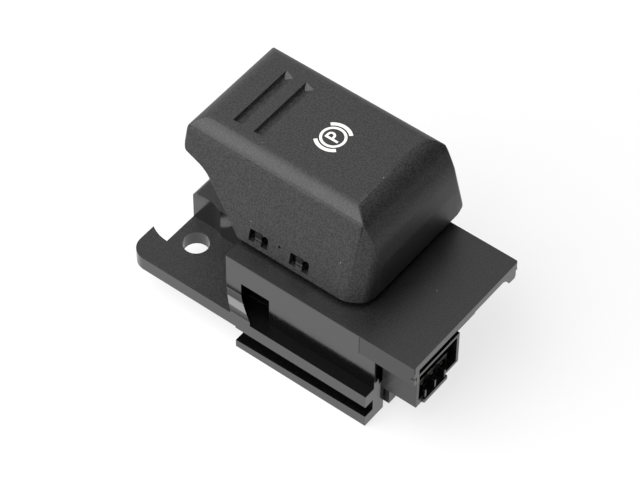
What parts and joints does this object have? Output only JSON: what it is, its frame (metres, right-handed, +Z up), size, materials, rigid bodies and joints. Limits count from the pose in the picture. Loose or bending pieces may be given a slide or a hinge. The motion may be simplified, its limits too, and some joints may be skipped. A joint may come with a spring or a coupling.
{
  "type": "parking brake switch",
  "caption": "Pull-and-push rocker switch for an electric parking brake: a grooved paddle knob over a flat cover plate on a moulded bracket with a fixing tab, a slotted rail and a plug.",
  "frame": {"origin": "centre of the fixing hole, on the underside of the tab", "axes": "+X along the cover plate from the tab to the plug, +Y from the slotted rail to the back, +Z up, out of the plate towards the knob"},
  "size_m": [0.1039, 0.0645, 0.0654],
  "materials": {
    "bracket": "smooth moulded grey plastic",
    "cover_plate": "fine grained dark grey plastic",
    "switch_housing": "black plastic",
    "housing_base": "black plastic",
    "base_screws": "zinc plated steel",
    "circuit_board": "green solder mask",
    "board_screws": "zinc plated steel",
    "contact_pads": "gold plated copper",
    "control_chip": "black moulding compound",
    "board_components": "ceramic and tinned parts",
    "lamp": "clear and white resin",
    "terminals": "tin plated brass",
    "connector_core": "black plastic",
    "slider_guide": "dark grey plastic",
    "stop_buffers": "soft black rubber",
    "pivot_pin": "drawn steel",
    "pin_clip": "spring steel",
    "knob_cap": "fine grained grey plastic",
    "symbol_inlay": "off-white translucent plastic",
    "knob_carrier": "grey plastic",
    "light_guide": "clear acrylic",
    "contact_slider": "natural low-friction plastic",
    "wiper_contacts": "spring copper alloy",
    "return_springs": "spring steel"
  },
  "bodies": {
    "base": {"bracket": "bracket", "cover_plate": "cover_plate", "switch_housing": "switch_housing", "housing_base": "housing_base", "base_screws": "base_screws", "circuit_board": "circuit_board", "board_screws": "board_screws", "contact_pads": "contact_pads", "control_chip": "control_chip", "board_components": "board_components", "lamp": "lamp", "terminals": "terminals", "connector_core": "connector_core", "slider_guide": "slider_guide", "stop_buffers": "stop_buffers", "pivot_pin": "pivot_pin", "pin_clip": "pin_clip", "return_springs": "return_springs"},
    "rocker": {"knob_cap": "knob_cap", "symbol_inlay": "symbol_inlay", "knob_carrier": "knob_carrier", "light_guide": "light_guide"},
    "slider": {"contact_slider": "contact_slider", "wiper_contacts": "wiper_contacts"}
  },
  "joints": [
    {"name": "rocker_hinge", "type": "hinge", "parent": "base", "child": "rocker", "pos_m": [0.058, 0.0226, 0.0167], "axis": [0, 1, 0], "range_deg": [-1.5, 8], "stiffness_Nm_per_rad": 0.8, "deforming": ["return_springs"]},
    {"name": "slider_travel", "type": "slide", "parent": "base", "child": "slider", "axis": [1, 0, 0], "range_m": [-0.0018, 0.0008]}
  ],
  "couplings": [
    {"joint": "slider_travel", "follows": "rocker_hinge", "m_per_rad": -0.012}
  ]
}
